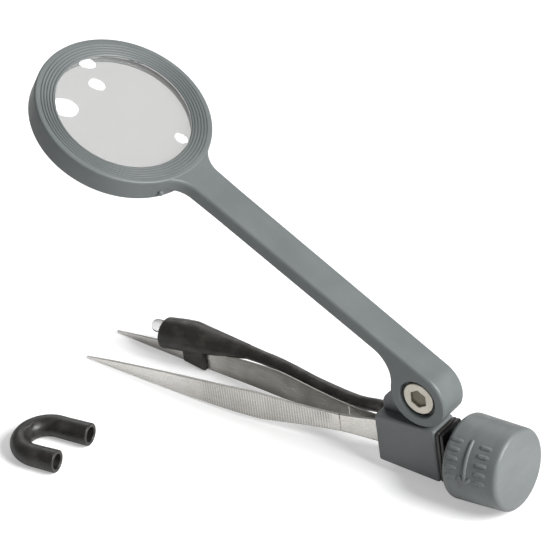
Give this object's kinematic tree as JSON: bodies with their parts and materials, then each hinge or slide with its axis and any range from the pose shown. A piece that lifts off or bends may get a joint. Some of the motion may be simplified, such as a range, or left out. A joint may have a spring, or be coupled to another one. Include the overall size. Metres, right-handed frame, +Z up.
{
  "type": "stamp tongs",
  "caption": "Lighted stamp tongs with pointed spring blades, a swing-over magnifier on a friction hinge, a blade lamp and a screw-on battery cap.",
  "frame": {"origin": "centre of the housing's flat underside, 2.8 mm above the floor that the blades and the cap rim rest on", "axes": "+X from the blade tips to the battery cap, level with the floor; Y across the two blades, near blade at -Y; +Z up"},
  "size_m": [0.1493, 0.0808, 0.0934],
  "materials": {
    "grey_plastic": "fine satin moulding, light grey",
    "housing_grey": "satin moulding, slightly darker grey",
    "black_plastic": "satin black",
    "black_rubber": "soft, matt black",
    "steel": "brushed, finely ribbed on the grips",
    "brass": "plain",
    "white_sleeve": "plain white",
    "lens_acrylic": "clear, polished"
  },
  "bodies": {
    "tongs_body": {"housing_body": "housing_grey", "near_blade_root": "steel", "far_blade_root": "steel", "blade_spacer": "black_plastic", "root_pin_front": "steel", "root_pin_rear": "steel", "pivot_bush": "brass", "friction_washer_near": "white_sleeve", "friction_washer_far": "white_sleeve", "lead_sleeve_rear": "black_rubber", "lead_wire": "brass", "housing_gasket": "black_rubber", "battery_neck": "black_plastic", "contact_pin": "brass", "cell_sleeve": "white_sleeve", "battery_cell_1": "steel", "battery_cell_2": "steel", "battery_cell_3": "steel"},
    "near_blade_body": {"near_blade": "steel"},
    "far_blade_body": {"far_blade": "steel", "led_holder": "black_rubber", "led_bulb": "lens_acrylic", "lead_sleeve_front": "black_rubber"},
    "magnifier": {"magnifier_arm": "grey_plastic", "magnifier_lens": "lens_acrylic", "lens_retaining_ring": "grey_plastic", "pivot_screw": "steel", "pivot_nut": "steel"},
    "cap_contact": {"spring_plate": "steel", "contact_spring": "steel"},
    "cap": {"battery_cap": "grey_plastic"},
    "guard": {"tip_guard": "black_rubber"}
  },
  "joints": [
    {"name": "magnifier_swing", "type": "hinge", "parent": "tongs_body", "child": "magnifier", "pos_m": [0.00303, 0, 0.02479], "axis": [0, 1, 0], "range_deg": [-31, 24]},
    {"name": "far_blade_squeeze", "type": "hinge", "parent": "tongs_body", "child": "far_blade_body", "pos_m": [-0.02347, 0.00228, 0.00516], "axis": [-0.0921, 0, 0.9957], "range_deg": [0, 3.9], "stiffness_Nm_per_rad": 0.8},
    {"name": "near_blade_squeeze", "type": "hinge", "parent": "tongs_body", "child": "near_blade_body", "pos_m": [-0.02347, -0.00228, 0.00516], "axis": [0.0921, 0, -0.9957], "range_deg": [0, 3.9], "stiffness_Nm_per_rad": 0.8},
    {"name": "cap_travel", "type": "slide", "parent": "tongs_body", "child": "cap_contact", "axis": [0.9957, 0, 0.0921], "range_m": [0, 0.003]},
    {"name": "cap_turn", "type": "hinge", "parent": "cap_contact", "child": "cap", "pos_m": [0.0054, 0, 0.00783], "axis": [0.9957, 0, 0.0921], "range_deg": [0, 720]},
    {"name": "tip_guard_slide", "type": "slide", "parent": "tongs_body", "child": "guard", "axis": [-0.7352, 0.6779, 0], "range_m": [0, 0.068]}
  ],
  "couplings": [
    {"joint": "near_blade_squeeze", "follows": "far_blade_squeeze", "ratio": 1},
    {"joint": "cap_travel", "follows": "cap_turn", "m_per_rad": 0.00023873}
  ]
}
